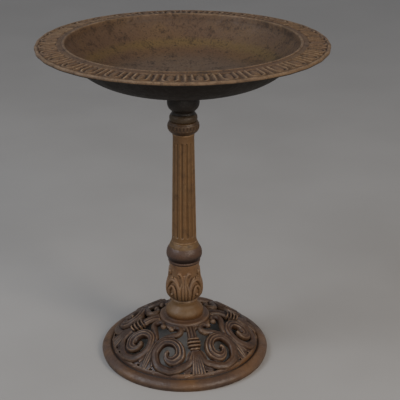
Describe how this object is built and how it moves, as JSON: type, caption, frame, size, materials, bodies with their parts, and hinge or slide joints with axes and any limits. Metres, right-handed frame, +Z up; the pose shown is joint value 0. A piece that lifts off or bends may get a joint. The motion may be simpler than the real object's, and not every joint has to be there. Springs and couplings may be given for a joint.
{
  "type": "bird bath",
  "caption": "Free-standing bird bath: a shallow round basin with a patterned rim on a fluted column and a pierced domed base. The basin unscrews.",
  "frame": {"origin": "centre of the foot ring on the floor", "axes": "+Z up along the column and the tie rod, front towards -Y, +X to the right seen from the front"},
  "size_m": [0.463, 0.463, 0.556],
  "materials": {
    "base_bronze": "antique bronze paint, satin, worn on high points",
    "column_bronze": "antique bronze paint, satin",
    "collar_bronze": "dark antique bronze paint, satin",
    "bowl_bronze": "antique bronze paint, mottled and weathered",
    "gasket_rubber": "matt",
    "zinc_steel": "zinc plated"
  },
  "bodies": {
    "pedestal": {"base_casting": "base_bronze", "bun_foot": "column_bronze", "acanthus_bulb": "column_bronze", "torus_collar": "collar_bronze", "fluted_shaft": "column_bronze", "bead_collar": "collar_bronze", "bowl_seat": "collar_bronze", "tie_rod": "zinc_steel", "base_washer": "zinc_steel", "lock_washer": "zinc_steel", "base_nut": "zinc_steel", "seat_washer": "zinc_steel", "seat_nut": "zinc_steel"},
    "gasket": {"bowl_gasket": "gasket_rubber"},
    "bowl": {"bowl": "bowl_bronze"}
  },
  "joints": [
    {"name": "bowl_rise", "type": "slide", "parent": "pedestal", "child": "gasket", "axis": [0, 0, 1], "range_m": [0, 0.01111]},
    {"name": "bowl_turn", "type": "hinge", "parent": "gasket", "child": "bowl", "pos_m": [0, 0, 0.55], "axis": [0, 0, 1], "range_deg": [0, 2520]}
  ],
  "couplings": [
    {"joint": "bowl_rise", "follows": "bowl_turn", "m_per_rad": 0.00025266}
  ]
}
